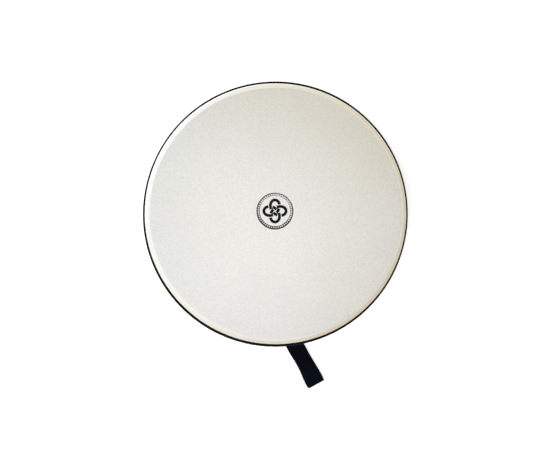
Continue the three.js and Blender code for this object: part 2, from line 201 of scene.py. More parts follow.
# -------------------------------------------------------------- material tools
class Nodes:
    """Short names for building a node tree."""

    def __init__(self, name):
        self.mat = bpy.data.materials.new(name)
        self.mat.use_nodes = True
        self.nt = self.mat.node_tree
        self.nt.nodes.clear()
        out = self.nt.nodes.new("ShaderNodeOutputMaterial")
        self.bsdf = self.nt.nodes.new("ShaderNodeBsdfPrincipled")
        self.nt.links.new(self.bsdf.outputs[0], out.inputs[0])
        self.obj = self.nt.nodes.new("ShaderNodeTexCoord").outputs["Object"]

    def put(self, socket, value):
        if isinstance(value, bpy.types.NodeSocket):
            self.nt.links.new(value, socket)
        elif hasattr(value, "__len__") and len(value) == 3 and socket.type == "RGBA":
            socket.default_value = (*value, 1)
        else:
            socket.default_value = value

    def set(self, **values):
        for k, v in values.items():
            self.put(self.bsdf.inputs[k.replace("_", " ")], v)
        return self

    def math(self, op, a, b=None, c=None, clamp=False):
        n = self.nt.nodes.new("ShaderNodeMath")
        n.operation, n.use_clamp = op, clamp
        for s, v in zip(n.inputs, (a, b, c)):
            if v is not None:
                self.put(s, v)
        return n.outputs[0]

    def vec(self, op, a, b=None):
        n = self.nt.nodes.new("ShaderNodeVectorMath")
        n.operation = op
        self.put(n.inputs[0], a)
        if b is not None:
            self.put(n.inputs[1], b)
        return n.outputs["Value"] if op in ("LENGTH", "DISTANCE", "DOT_PRODUCT") else n.outputs["Vector"]

    def split(self, v):
        n = self.nt.nodes.new("ShaderNodeSeparateXYZ")
        self.put(n.inputs[0], v)
        return n.outputs

    def join(self, x, y, z=0.0):
        n = self.nt.nodes.new("ShaderNodeCombineXYZ")
        for s, v in zip(n.inputs, (x, y, z)):
            self.put(s, v)
        return n.outputs[0]

    def mapping(self, v, scale=(1, 1, 1), rot=(0, 0, 0), loc=(0, 0, 0)):
        n = self.nt.nodes.new("ShaderNodeMapping")
        self.put(n.inputs["Vector"], v)
        n.inputs["Scale"].default_value, n.inputs["Rotation"].default_value, n.inputs["Location"].default_value = scale, rot, loc
        return n.outputs[0]

    def turned(self, v, angle, per_x, per_y, loc=(0, 0, 0)):
        """Coordinates turned by angle and then scaled, so that a pattern can run in any direction of the plane."""
        n = self.nt.nodes.new("ShaderNodeMapping")
        n.vector_type = "TEXTURE"
        self.put(n.inputs["Vector"], v)
        n.inputs["Scale"].default_value = (1 / per_x, 1 / per_y, 1 / per_y)
        n.inputs["Rotation"].default_value, n.inputs["Location"].default_value = (0, 0, angle), loc
        return n.outputs[0]

    def noise(self, v, scale, detail=2.0, rough=0.5, distortion=0.0):
        n = self.nt.nodes.new("ShaderNodeTexNoise")
        self.put(n.inputs["Vector"], v)
        n.inputs["Scale"].default_value, n.inputs["Detail"].default_value = scale, detail
        n.inputs["Roughness"].default_value, n.inputs["Distortion"].default_value = rough, distortion
        return n.outputs["Fac"]

    def voronoi(self, v, scale, feature="F1", random=1.0):
        n = self.nt.nodes.new("ShaderNodeTexVoronoi")
        n.feature = feature
        self.put(n.inputs["Vector"], v)
        n.inputs["Scale"].default_value, n.inputs["Randomness"].default_value = scale, random
        return n.outputs["Distance"]

    def step(self, x, lo, hi, a=0.0, b=1.0):
        """Smooth step of x from lo to hi, giving a to b."""
        n = self.nt.nodes.new("ShaderNodeMapRange")
        n.interpolation_type = "SMOOTHSTEP"
        self.put(n.inputs["Value"], x)
        for k, v in (("From Min", lo), ("From Max", hi), ("To Min", a), ("To Max", b)):
            self.put(n.inputs[k], v)
        return n.outputs[0]

    def span(self, x, lo, hi, a, b):
        n = self.nt.nodes.new("ShaderNodeMapRange")
        self.put(n.inputs["Value"], x)
        for k, v in (("From Min", lo), ("From Max", hi), ("To Min", a), ("To Max", b)):
            self.put(n.inputs[k], v)
        return n.outputs[0]

    def mix(self, fac, a, b, blend="MIX"):
        n = self.nt.nodes.new("ShaderNodeMix")
        n.data_type, n.blend_type = "RGBA", blend
        n.clamp_factor = True
        self.put(n.inputs[0], fac)
        self.put(n.inputs[6], a)
        self.put(n.inputs[7], b)
        return n.outputs[2]

    def bump(self, height, distance, strength=1.0, normal=None):
        n = self.nt.nodes.new("ShaderNodeBump")
        self.put(n.inputs["Height"], height)
        n.inputs["Distance"].default_value, n.inputs["Strength"].default_value = distance, strength
        if normal is not None:
            self.put(n.inputs["Normal"], normal)
        return n.outputs[0]

    def attribute(self, name):
        n = self.nt.nodes.new("ShaderNodeAttribute")
        n.attribute_type, n.attribute_name = "GEOMETRY", name
        return n.outputs["Vector"]

    def add(self, *v):
        out = v[0]
        for x in v[1:]:
            out = self.math("ADD", out, x)
        return out

    def cylinder(self):
        """(arc length at the shell, radius, z) of the object coordinates, in metres."""
        x, y, z = self.split(self.obj)
        a = self.math("ARCTAN2", y, x)
        r = self.math("SQRT", self.add(self.math("MULTIPLY", x, x), self.math("MULTIPLY", y, y)))
        return a, r, z


def srgb(r, g, b):
    return tuple((c / 255 / 12.92) if c / 255 <= 0.04045 else ((c / 255 + 0.055) / 1.055) ** 2.4 for c in (r, g, b))


# ------------------------------------------------------------------- materials
def skin_material():
    """Fibre skin: crossed fibres and a cloudy pulp, a paler, smoother cream band where it is stretched over the rim,
    and painted light and shade across the flat and around the edge.
    """
    n = Nodes("head_skin")
    body = (0.800, 0.790, 0.762)
    cloud = n.noise(n.obj, 9.0, 3.0, 0.55)
    colour = n.mix(n.step(cloud, 0.30, 0.70), tuple(c * 0.972 for c in body), body)
    patch = n.noise(n.mapping(n.obj, loc=(3.1, 1.7, 0)), 30.0, 2.0, 0.5)
    colour = n.mix(n.step(patch, 0.42, 0.66, 0.0, 0.5), colour, (body[0], body[1] * 0.993, body[2] * 0.975))
    a, r, z = n.cylinder()
    band = n.step(r, 0.2182, 0.2198)
    # long pale fibres and shorter dark ones in every direction
    pale, dark = None, None
    for k in range(5):
        f = n.step(n.noise(n.turned(n.obj, 0.21 + k * 0.63, 105, 1150, (k * 0.013, k * 0.029, 0)), 1.0, 1.0, 0.5, 0.35), 0.585, 0.66)
        g = n.step(n.noise(n.turned(n.obj, 0.50 + k * 0.63, 170, 900, (k * 0.031, -k * 0.017, 0)), 1.0, 1.0, 0.5, 0.35), 0.60, 0.69)
        pale = f if pale is None else n.math("MAXIMUM", pale, f)
        dark = g if dark is None else n.math("MAXIMUM", dark, g)
    pulp = n.noise(n.turned(n.obj, 0.08, 350, 660), 1.0, 2.0, 0.6)
    grain = n.noise(n.obj, 980.0, 2.0, 0.6)
    shade = n.add(1.0, n.math("MULTIPLY", n.math("SUBTRACT", pulp, 0.5), 0.31), n.math("MULTIPLY", n.math("SUBTRACT", grain, 0.5), 0.12),
                  n.math("MULTIPLY", pale, 0.062), n.math("MULTIPLY", dark, -0.070))
    shade = n.math("ADD", 1.0, n.math("MULTIPLY", n.math("SUBTRACT", shade, 1.0), n.math("SUBTRACT", 1.0, n.math("MULTIPLY", band, 0.65))))
    colour = n.vec("MULTIPLY", colour, n.join(shade, shade, shade))
    colour = n.mix(band, colour, n.mix(1.0, colour, (1.082, 1.072, 1.046), "MULTIPLY"))
    x, y, _ = n.split(n.obj)
    shade_side = n.step(n.add(n.math("MULTIPLY", x, 0.707), n.math("MULTIPLY", y, -0.707)), -0.207, 0.253)
    # painted light: the skin is painted darker and warmer towards the upper right and a touch bluer towards the lower
    # left, standing in for the fall-off and colour of the lamps
    painted_light_drift = n.add(n.math("MULTIPLY", x, 0.375 / 0.2186), n.math("MULTIPLY", y, 0.927 / 0.2186))
    colour = n.mix(n.step(painted_light_drift, 0.15, 1.05), colour, n.mix(1.0, colour, (0.972, 0.940, 0.876), "MULTIPLY"))
    colour = n.mix(n.step(painted_light_drift, -0.1, -1.0), colour, n.mix(1.0, colour, (0.996, 1.0, 1.018), "MULTIPLY"))
    # painted shade: the flat is painted slightly darker and warmer towards the right, the side away from the key light
    painted_shade_right = n.add(n.math("MULTIPLY", x, 0.966 / 0.2186), n.math("MULTIPLY", y, -0.259 / 0.2186))
    painted_shade_right = n.math("MULTIPLY", n.step(painted_shade_right, 0.15, 0.75), n.math("SUBTRACT", 1.0, band))
    colour = n.mix(painted_shade_right, colour, n.mix(1.0, colour, (0.992, 0.980, 0.960), "MULTIPLY"))
    # painted shade and warm reflected light: the outer band on the lower right side, tilted away from the key light, is
    # painted a darker tan in mottled patches
    mottle = n.span(n.noise(n.obj, 38.0, 3.0, 0.6), 0.3, 0.7, 0.75, 1.1)
    painted_warm_shade = n.math("MULTIPLY", n.math("MULTIPLY", n.step(r, 0.2212, 0.2262), shade_side), mottle)
    colour = n.mix(painted_warm_shade, colour, n.mix(1.0, colour, (0.865, 0.810, 0.700), "MULTIPLY"))
    # painted light and shade on the edge: a browner painted shade at the lower right, a paler painted highlight stretch
    # at the right, painted cool light at the upper left
    def lobe(ax, ay):
        return n.step(n.add(n.math("MULTIPLY", x, ax), n.math("MULTIPLY", y, ay)), 0.190, 0.212)
    painted_shade_lower_right = n.math("MULTIPLY", lobe(0.707, -0.707), n.step(r, 0.2198, 0.2216))
    colour = n.mix(painted_shade_lower_right, colour, n.mix(1.0, colour, (0.972, 0.943, 0.893), "MULTIPLY"))
    wear_and_highlight = n.math("MULTIPLY", lobe(1.0, 0.0), n.math("MULTIPLY", n.step(r, 0.2198, 0.2206), n.step(r, 0.2238, 0.2228)))
    colour = n.mix(wear_and_highlight, colour, n.mix(1.0, colour, (1.050, 1.042, 1.055), "MULTIPLY"))
    painted_cool_light_upper_left = n.math("MULTIPLY", lobe(-0.707, 0.707), n.step(r, 0.2165, 0.2180))
    colour = n.mix(painted_cool_light_upper_left, colour, n.mix(1.0, colour, (1.008, 1.014, 1.050), "MULTIPLY"))
    # faint painted shade lines at the slope changes, where the skin leaves the tone ring and where it meets the edge of
    # the shell
    for at, wide, deep in ((0.21935, 0.0007, 0.10), (0.2243, 0.0010, 0.07)):
        shade_line = n.math("SUBTRACT", 1.0, n.step(n.math("ABSOLUTE", n.math("SUBTRACT", r, at)), 0.0, wide))
        colour = n.mix(n.math("MULTIPLY", shade_line, deep), colour, (0.42, 0.36, 0.27))
    # two short creases on the edge of the flat, dented and painted dark as painted shade in the crease, and a few pale
    # flecks
    dents = 0.0
    for (px, py, turn, long_, wide) in ((0.1262, -0.1795, radians(35), 0.0042, 0.0009), (0.0667, -0.2086, radians(18), 0.0030, 0.0008)):
        dx, dy = n.math("SUBTRACT", x, px), n.math("SUBTRACT", y, py)
        u = n.add(n.math("MULTIPLY", dx, cos(turn)), n.math("MULTIPLY", dy, sin(turn)))
        w = n.add(n.math("MULTIPLY", dx, -sin(turn)), n.math("MULTIPLY", dy, cos(turn)))
        m = n.math("MULTIPLY", n.step(n.math("ABSOLUTE", u), long_, 0.0), n.step(n.math("ABSOLUTE", w), wide, 0.0))
        colour = n.mix(n.math("MULTIPLY", m, 0.6), colour, (0.20, 0.17, 0.13))
        dents = n.math("MAXIMUM", dents, m)
    for (px, py, rad) in ((-0.1245, 0.058, 0.0013), (-0.002, -0.196, 0.0013), (-0.112, 0.0665, 0.0010), (0.071, 0.118, 0.0009), (0.095, -0.071, 0.0008)):
        d = n.vec("DISTANCE", n.join(x, y, 0.0), (px, py, 0.0))
        colour = n.mix(n.step(d, rad, rad * 0.4, 0.0, 0.8), colour, (0.93, 0.92, 0.90))
    height = n.add(n.math("MULTIPLY", pale, 0.7), n.math("MULTIPLY", dark, -0.4), n.math("MULTIPLY", pulp, 0.8), n.math("MULTIPLY", grain, 0.4), n.math("MULTIPLY", dents, -3.0))
    rough = n.span(n.add(grain, n.math("MULTIPLY", cloud, 0.5)), 0.5, 1.0, 0.50, 0.64)
    n.set(Base_Color=colour, Roughness=rough, Normal=n.bump(height, 0.00010, 0.55))
    n.bsdf.inputs["Specular IOR Level"].default_value = 0.28
    return n.mat


def ink_material(name, colour, wear_and_highlight):
    """Screen ink: a little thin where the skin's fibres stand up."""
    n = Nodes(name)
    thin = n.step(n.noise(n.obj, 900.0, 3.0, 0.6), 0.52, 0.80)
    blotch = n.noise(n.obj, 160.0, 2.0, 0.5)
    c = n.mix(n.step(blotch, 0.3, 0.7), colour, tuple(v * 1.35 + 0.004 for v in colour))
    c = n.mix(n.math("MULTIPLY", thin, wear_and_highlight), c, (0.46, 0.43, 0.39))
    n.set(Base_Color=c, Roughness=n.span(blotch, 0.3, 0.7, 0.42, 0.58), Normal=n.bump(thin, 0.00003, 0.6))
    n.bsdf.inputs["Specular IOR Level"].default_value = 0.06
    return n.mat


def hoop_material():
    """Black lacquered bent hoop: long faint grain, a soft sheen, rubbed along its outer edge."""
    n = Nodes("black_hoop")
    a, r, z = n.cylinder()
    grain = n.noise(n.join(n.math("MULTIPLY", a, 9.0), n.math("MULTIPLY", r, 900.0), n.math("MULTIPLY", z, 620.0)), 1.0, 3.0, 0.6)
    fine = n.noise(n.obj, 1400.0, 2.0, 0.5)
    rub = n.noise(n.join(n.math("MULTIPLY", a, 22.0), 0.0, n.math("MULTIPLY", z, 90.0)), 1.0, 4.0, 0.70)
    base = n.mix(n.step(grain, 0.35, 0.7), (0.0010, 0.0012, 0.0024), (0.0026, 0.0029, 0.0046))
    edge = n.math("MULTIPLY", n.step(r, 0.2320, 0.2326), n.step(n.math("ABSOLUTE", n.math("ADD", z, 0.0262)), 0.0016, 0.0003))
    base = n.mix(n.math("MULTIPLY", edge, n.step(rub, 0.50, 0.72, 0.0, 0.45)), base, (0.030, 0.027, 0.025))
    rough = n.add(n.span(grain, 0.3, 0.7, 0.40, 0.50), n.step(rub, 0.45, 0.8, 0.0, 0.12))
    n.set(Base_Color=base, Roughness=rough, Normal=n.bump(n.add(grain, n.math("MULTIPLY", fine, 0.35)), 0.00009, 0.5))
    n.bsdf.inputs["Specular IOR Level"].default_value = 0.09
    return n.mat


def shell_material():
    """Satin black lacquer over bent ply: grain telegraphs through, scuffs low on the wall, ply lines on the back edge."""
    n = Nodes("black_ply")
    a, r, z = n.cylinder()
    grain = n.noise(n.join(n.math("MULTIPLY", a, 5.0), 0.0, n.math("MULTIPLY", z, 460.0)), 1.0, 4.0, 0.62, 0.25)
    pores = n.noise(n.join(n.math("MULTIPLY", a, 38.0), 0.0, n.math("MULTIPLY", z, 1500.0)), 1.0, 2.0, 0.5)
    pores = n.step(pores, 0.62, 0.75)
    base = n.mix(n.step(grain, 0.30, 0.72), (0.0042, 0.0045, 0.0056), (0.0100, 0.0103, 0.0120))
    base = n.mix(n.math("MULTIPLY", pores, 0.55), base, (0.003, 0.003, 0.0035))
    dust = n.step(n.noise(n.obj, 34.0, 4.0, 0.68), 0.55, 0.82)
    base = n.mix(n.math("MULTIPLY", dust, 0.16), base, (0.060, 0.058, 0.055))
    scuff = n.noise(n.join(n.math("MULTIPLY", a, 60.0), 0.0, n.math("MULTIPLY", z, 420.0)), 1.0, 5.0, 0.72)
    low = n.step(n.add(z, n.math("MULTIPLY", n.math("SUBTRACT", scuff, 0.5), 0.004)), -0.0893, -0.0918)
    base = n.mix(n.math("MULTIPLY", low, n.step(scuff, 0.46, 0.74, 0.0, 0.42)), base, (0.070, 0.058, 0.046))
    under = n.step(z, -0.09135, -0.09165)
    ply = n.math("FRACT", n.math("MULTIPLY", n.math("SUBTRACT", r, 0.221), 1 / 0.0014))
    stripes = n.step(n.math("ABSOLUTE", n.math("SUBTRACT", ply, 0.5)), 0.34, 0.48)
    shown = n.math("MULTIPLY", n.math("MULTIPLY", under, stripes), n.step(scuff, 0.35, 0.70, 0.05, 0.50))
    base = n.mix(shown, base, (0.062, 0.044, 0.030))
    rough = n.add(n.span(grain, 0.3, 0.7, 0.36, 0.47), n.math("MULTIPLY", dust, 0.16))
    height = n.add(grain, n.math("MULTIPLY", pores, -0.8))
    n.set(Base_Color=base, Roughness=rough, Normal=n.bump(height, 0.00011, 0.5))
    n.bsdf.inputs["Specular IOR Level"].default_value = 0.26
    return n.mat


def wood_material(name, light, dark, along="a", rough=(0.42, 0.56), spec=0.4, straight=1.0):
    """Open grained wood with its grain along the arc of a ring or along X."""
    n = Nodes(name)
    if along == "a":
        a, r, z = n.cylinder()
        v = n.join(n.math("MULTIPLY", a, 3.2), n.math("MULTIPLY", r, 300.0), n.math("MULTIPLY", z, 210.0))
        vf = n.join(n.math("MULTIPLY", a, 42.0), n.math("MULTIPLY", r, 1900.0), n.math("MULTIPLY", z, 1700.0))
    else:
        v = n.mapping(n.obj, scale=(9.0, 230.0, 230.0))
        vf = n.mapping(n.obj, scale=(150.0, 1900.0, 1900.0))
    bands = n.noise(v, 1.0, 3.0, 0.55, 0.6 * straight)
    pores = n.step(n.noise(vf, 1.0, 2.0, 0.55), 0.60, 0.74)
    base = n.mix(n.step(bands, 0.30, 0.70), dark, light)
    base = n.mix(n.math("MULTIPLY", pores, 0.6), base, tuple(c * 0.42 for c in dark))
    patch = n.noise(n.obj, 24.0, 3.0, 0.6)
    base = n.mix(n.step(patch, 0.40, 0.75, 0.0, 0.30), base, tuple(c * 0.72 for c in light))
    n.set(Base_Color=base, Roughness=n.span(bands, 0.3, 0.7, *rough), Normal=n.bump(n.add(bands, n.math("MULTIPLY", pores, -1.2)), 0.00012, 0.55))
    n.bsdf.inputs["Specular IOR Level"].default_value = spec
    return n.mat


def metal_material(name, colour, rough, dark, scale=1.0, tint=None):
    """Plated steel: drawn grain, cloudy plating and darker handling marks."""
    n = Nodes(name)
    lines = n.noise(n.mapping(n.obj, scale=(240 * scale, 2600 * scale, 240 * scale)), 1.0, 2.0, 0.5)
    cloud = n.noise(n.obj, 210.0 * scale, 3.0, 0.6)
    base = n.mix(n.step(cloud, 0.35, 0.70), colour, tuple(c * 0.80 for c in colour))
    if tint is not None:
        base = n.mix(n.step(n.noise(n.mapping(n.obj, loc=(1.3, 0.4, 0.2)), 120.0 * scale, 2.0, 0.5), 0.45, 0.75, 0.0, 0.5), base, tint)
    marks = n.step(n.noise(n.mapping(n.obj, loc=(5.2, 2.2, 0.7)), 520.0 * scale, 3.0, 0.7), 0.60, 0.78)
    base = n.mix(n.math("MULTIPLY", marks, 0.5), base, dark)
    r = n.add(n.span(lines, 0.3, 0.7, rough - 0.06, rough + 0.07), n.math("MULTIPLY", marks, 0.14))
    n.set(Base_Color=base, Roughness=r, Normal=n.bump(n.add(lines, n.math("MULTIPLY", cloud, 0.6)), 0.00002, 0.5))
    n.bsdf.inputs["Metallic"].default_value = 1.0
    return n.mat


def webbing_material():
    """Black polypropylene webbing: staggered floats in columns, selvedges, fuzz and a little lint. The attribute flat holds (along, across) in mm."""
    n = Nodes("webbing")
    u, v, edge = n.split(n.attribute("flat"))
    col = n.math("DIVIDE", v, 1.15)
    ci = n.math("FLOOR", col)
    odd = n.math("MULTIPLY", n.math("FRACT", n.math("MULTIPLY", ci, 0.5)), 1.0)
    row = n.add(n.math("DIVIDE", u, 2.3), odd)
    fu = n.math("SUBTRACT", n.math("MULTIPLY", n.math("FRACT", row), 2.0), 1.0)
    fv = n.math("SUBTRACT", n.math("MULTIPLY", n.math("FRACT", col), 2.0), 1.0)
    hu = n.math("SUBTRACT", 1.0, n.math("POWER", n.math("ABSOLUTE", fu), 3.0))
    hv = n.math("SUBTRACT", 1.0, n.math("POWER", n.math("ABSOLUTE", fv), 2.2))
    height = n.math("MULTIPLY", hu, hv)
    cell = n.noise(n.join(n.math("MULTIPLY", n.math("FLOOR", row), 3.7), n.math("MULTIPLY", ci, 5.1), 0.0), 1.0, 1.0, 0.5)
    yarn = n.noise(n.join(n.math("MULTIPLY", u, 1.6), n.math("MULTIPLY", v, 14.0), 0.0), 1.0, 2.0, 0.6)
    lint = n.step(n.noise(n.join(n.math("MULTIPLY", u, 1.1), n.math("MULTIPLY", v, 0.9), 2.0), 1.0, 4.0, 0.75), 0.66, 0.80)
    fade = n.noise(n.join(n.math("MULTIPLY", u, 0.05), n.math("MULTIPLY", v, 0.09), 0.0), 1.0, 3.0, 0.55)
    # painted shade: the low places between the floats are painted darker than the float tops
    base = n.mix(n.step(height, 0.05, 0.75), (0.0006, 0.0009, 0.0042), (0.0022, 0.0029, 0.0105))
    base = n.mix(n.step(cell, 0.35, 0.68, 0.0, 0.6), base, (0.0012, 0.0016, 0.0062))
    base = n.mix(n.step(fade, 0.40, 0.75, 0.0, 0.45), base, (0.0032, 0.0038, 0.0075))
    wear_and_highlight = n.math("MULTIPLY", n.step(n.math("ABSOLUTE", n.math("SUBTRACT", u, 142.0)), 46.0, 4.0), n.step(height, 0.0, 0.6, 0.35, 1.0))
    base = n.mix(n.math("MULTIPLY", wear_and_highlight, 0.75), base, (0.0022, 0.0062, 0.0150))
    base = n.mix(n.math("MULTIPLY", lint, 0.22), base, (0.030, 0.031, 0.036))
    far = n.step(n.math("ABSOLUTE", v), 13.3, 14.2)
    rib = n.math("FRACT", n.math("DIVIDE", u, 1.5))
    height = n.mix(far, height, n.math("SINE", n.math("MULTIPLY", rib, pi)))
    h = n.add(height, n.math("MULTIPLY", yarn, 0.30))
    n.set(Base_Color=base, Roughness=n.span(yarn, 0.3, 0.7, 0.72, 0.90), Normal=n.bump(h, 0.00028, 0.8))
    n.bsdf.inputs["Specular IOR Level"].default_value = 0.07
    return n.mat


def thread_material():
    n = Nodes("thread")
    twist = n.noise(n.mapping(n.obj, scale=(2600, 2600, 2600)), 1.0, 2.0, 0.5)
    base = n.mix(n.step(twist, 0.35, 0.65), (0.006, 0.0065, 0.009), (0.022, 0.023, 0.030))
    n.set(Base_Color=base, Roughness=n.span(twist, 0.3, 0.7, 0.45, 0.7), Normal=n.bump(twist, 0.00006, 0.6))
    n.bsdf.inputs["Specular IOR Level"].default_value = 0.3
    return n.mat


M_SKIN = skin_material()
M_RING_INK = ink_material("badge_ring_ink", srgb(66, 56, 54), 0.32)
M_KNOT_INK = ink_material("badge_knot_ink", srgb(9, 11, 20), 0.06)
M_HOOP = hoop_material()
M_SHELL = shell_material()
M_TONE = wood_material("tone_wood", (0.58, 0.40, 0.225), (0.36, 0.22, 0.11))
M_BAR = wood_material("black_wood", (0.020, 0.019, 0.019), (0.008, 0.008, 0.009), along="x", rough=(0.40, 0.58))
M_ZINC = metal_material("zinc_plate", (0.66, 0.68, 0.70), 0.30, (0.30, 0.30, 0.30), tint=(0.70, 0.66, 0.56))
M_OXIDE = metal_material("black_oxide", (0.045, 0.046, 0.050), 0.42, (0.16, 0.15, 0.14))
M_WEB = webbing_material()
M_THREAD = thread_material()


# ------------------------------------------------------------------------ head
def skin_wobble(r, z, ang):
    """The skirt was pulled down by hand, so the turned-over part is not perfectly even."""
    k = min(1.0, max(0.0, (r - 218.0) / 9.0))
    dz = k * 0.10 * (np.sin(3 * ang + 0.7) + 0.6 * np.sin(7 * ang + 2.1) + 0.35 * np.sin(17 * ang + 0.4) + 0.25 * np.sin(31 * ang))
    return 0 * ang, (dz if z < -0.01 else 0 * ang)


outer = spline([(216.8, 0), (218.0, 0), (218.8, -0.05), (219.6, -0.22), (220.8, -0.62), (222.2, -1.12), (223.6, -1.60), (224.9, -2.02),
                (226.1, -2.62), (227.2, -3.55), (228.2, -5.0), (228.85, -7.0), (229.2, -9.4), (229.3, -12.0)], 0.4)
flat_radii = [(0, 0), (6, 0), (20, 0), (45, 0), (80, 0), (120, 0), (160, 0), (190, 0), (208, 0)]
head_outer = flat_radii + [tuple(p) for p in outer] + [(229.3, -18.0), (229.3, -25.6), (229.0, -26.0)]
head_inner = [(228.4, -26.0), (228.35, -12.0), (228.1, -9.0), (227.3, -6.4), (226.0, -4.3), (224.2, -2.75), (222.4, -1.85), (220.4, -1.22), (218.2, -0.9), (120, -0.9), (0, -0.9)]
head = lathe("head_skin", head_outer + head_inner, 384, M_SKIN, closed=False, sharp=50, wobble=skin_wobble)
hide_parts("head")
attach(head, "drum")


# ----------------------------------------------------------------------- badge
def ribbon(path, width, closed):
    """Flat strip along a path in the plane: (vertices, faces)."""
    p = np.asarray(path, float)
    if closed:
        d = np.roll(p, -1, 0) - np.roll(p, 1, 0)
    else:
        d = np.gradient(p, axis=0)
    d /= np.linalg.norm(d, axis=1)[:, None]
    nrm = np.stack([-d[:, 1], d[:, 0]], 1)
    w = np.broadcast_to(np.asarray(width, float) / 2, (len(p),))[:, None]
    left, right = p + nrm * w, p - nrm * w
    v = np.empty((2 * len(p), 2))
    v[0::2], v[1::2] = left, right
    f = []
    for i in range(len(p) if closed else len(p) - 1):
        j = (i + 1) % len(p)
        f.append((2 * i, 2 * i + 1, 2 * j + 1, 2 * j))
    return v, f


def flat_print(name, strips, z, material):
    """Thin raised ink from flat strips, closed underneath."""
    verts, faces = [], []
    t = 0.05
    for v, f in strips:
        o = len(verts)
        k = len(v)
        verts += [(x, y, z + t) for x, y in v] + [(x, y, z) for x, y in v]
        edges = {}
        for q in f:
            faces.append([o + i for i in q])
            faces.append([o + k + i for i in q[::-1]])
            for a, b in zip(q, q[1:] + q[:1]):
                edges[(a, b)] = edges.get((a, b), 0) + 1
        for (a, b) in edges:
            if (b, a) not in edges:
                faces.append([o + b, o + a, o + k + a, o + k + b])
    ob = new_object(name, verts, faces, material, smooth=False)
    face_out(ob)
    return ob


BADGE = np.array([-0.95, 1.8])
BADGE_R = 32.2
circle = lambda r, m: [(BADGE[0] + r * cos(a), BADGE[1] + r * sin(a)) for a in np.arange(m) * 2 * pi / m]
press = lambda a: 1.0 + 0.22 * np.cos(a - radians(255)) + 0.05 * np.sin(7 * a + 0.6) + 0.04 * np.sin(17 * a)
strips = [ribbon(circle(BADGE_R - 1.15, 220), 2.25 * press(np.arange(220) * 2 * pi / 220), True),
          ribbon(circle(BADGE_R - 5.1, 200), 0.9 * press(np.arange(200) * 2 * pi / 200) ** 2, True)]
for a in np.arange(48) * 2 * pi / 48:
    c = BADGE + (BADGE_R - 3.5) * np.array([cos(a), sin(a)])
    m = 14
    dot = 1.05 * float(press(a)) ** 0.5
    ring_pts = [(c[0] + dot * cos(t), c[1] + dot * sin(t)) for t in np.arange(m) * 2 * pi / m]
    strips.append((np.array(ring_pts), [tuple(range(m))]))
badge_ring = flat_print("badge_ring", strips, 0.0, M_RING_INK)
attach(badge_ring, "drum")

# a four-fold interlace: a closed curve woven over and under itself, with gaps where it passes under
knot = []
M = 1440
tt = np.arange(M) * 2 * pi / M
# hypotrochoid-like loop that visits each quarter twice
rad = 15.2 + 6.2 * np.cos(4 * tt * 1.0)
px = 11.6 * np.cos(tt * 3) + 7.7 * np.cos(tt * 1 + 0.0)
py = 11.6 * np.sin(tt * 3) - 7.7 * np.sin(tt * 1 + 0.0)
curve = np.stack([px, py], 1)
# crossings
seg_a, seg_b = curve, np.roll(curve, -1, 0)
cross = []
for i in range(0, M):
    a0, a1 = seg_a[i], seg_b[i]
    d1 = a1 - a0
    j = np.arange(i + 6, M if i > 5 else M - 6)
    if len(j) == 0:
        continue
    b0, b1 = seg_a[j], seg_b[j]
    d2 = b1 - b0
    den = d1[0] * d2[:, 1] - d1[1] * d2[:, 0]
    ok = np.abs(den) > 1e-12
    w = b0 - a0
    t = np.where(ok, (w[:, 0] * d2[:, 1] - w[:, 1] * d2[:, 0]) / np.where(ok, den, 1), -1)
    s = np.where(ok, (w[:, 0] * d1[1] - w[:, 1] * d1[0]) / np.where(ok, den, 1), -1)
    hit = (t >= 0) & (t < 1) & (s >= 0) & (s < 1)
    for jj in j[hit]:
        cross.append((i, int(jj)))
events = sorted([(i, k) for k, (i, _) in enumerate(cross)] + [(j, k) for k, (_, j) in enumerate(cross)])
under = set()
for turn, (at, k) in enumerate(events):
    if turn % 2 == 1:
        under.add(at)
mask = np.ones(M, bool)
length = np.linalg.norm(np.roll(curve, -1, 0) - curve, axis=1)
for at in under:
    for sgn in (1, -1):
        run, i = 0.0, at
        while run < 3.55:
            mask[i % M] = False
            run += length[i % M]
            i += sgn
runs, start = [], None
first = int(np.argmin(mask)) if not mask.all() else 0
order = [(first + k) % M for k in range(M)]
cur = []
for i in order:
    if mask[i]:
        cur.append(i)
    elif cur:
        runs.append(cur)
        cur = []
if cur:
    runs.append(cur)
knot_strips = []
for run in runs:
    if len(run) > 4:
        knot_strips.append(ribbon(curve[run][::3] + BADGE, 5.0, False))
badge_knot = flat_print("badge_knot", knot_strips, 0.0, M_KNOT_INK)
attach(badge_knot, "drum")

# ------------------------------------------------------------------- trim hoop
hp = [(229.6, -18.0), (229.6, -8.4)] + arc(230.2, -8.0, 0.6, 180, 90, 5)   # inner lip against the skin
hp += [(230.7, -7.42)] + arc(230.7, -9.42, 2.0, 84, 0, 8)                  # rounded shoulder
hp += [(HOOP_OUT, -12.0), (HOOP_OUT, -19.0)]
hp += arc(HOOP_OUT - 0.9, -26.6, 0.9, 0, -90, 5)
hp += [(230.6, -27.5), (229.8, -27.4), (229.6, -26.9)]


def hoop_wobble(r, z, ang):
    """Bent a little out of round, and sits askew: its lip stands higher and closer to the skin on the -X -Y side."""
    k = min(1.0, max(0.0, (z + 12.0) / 4.6))
    side = (1 + np.cos(ang - 4.08)) / 2
    lip = max(0.0, 1 - abs(r - 230.0) / 1.0)
    out = 0.85 if r > 231.4 else 0.0
    bent = 0.33 * np.sin(2 * ang) - 0.50 * np.cos(2 * ang)
    return (-0.62 * lip * side + 0.35 * bent * lip) * k + out * (side - 0.34) + (bent if out else 0.0), k * (1.5 * side - 0.6)


hoop = lathe("trim_hoop_black", hp, 512, M_HOOP, sharp=40, wobble=hoop_wobble)
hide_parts("trim_hoop")
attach(hoop, "drum")

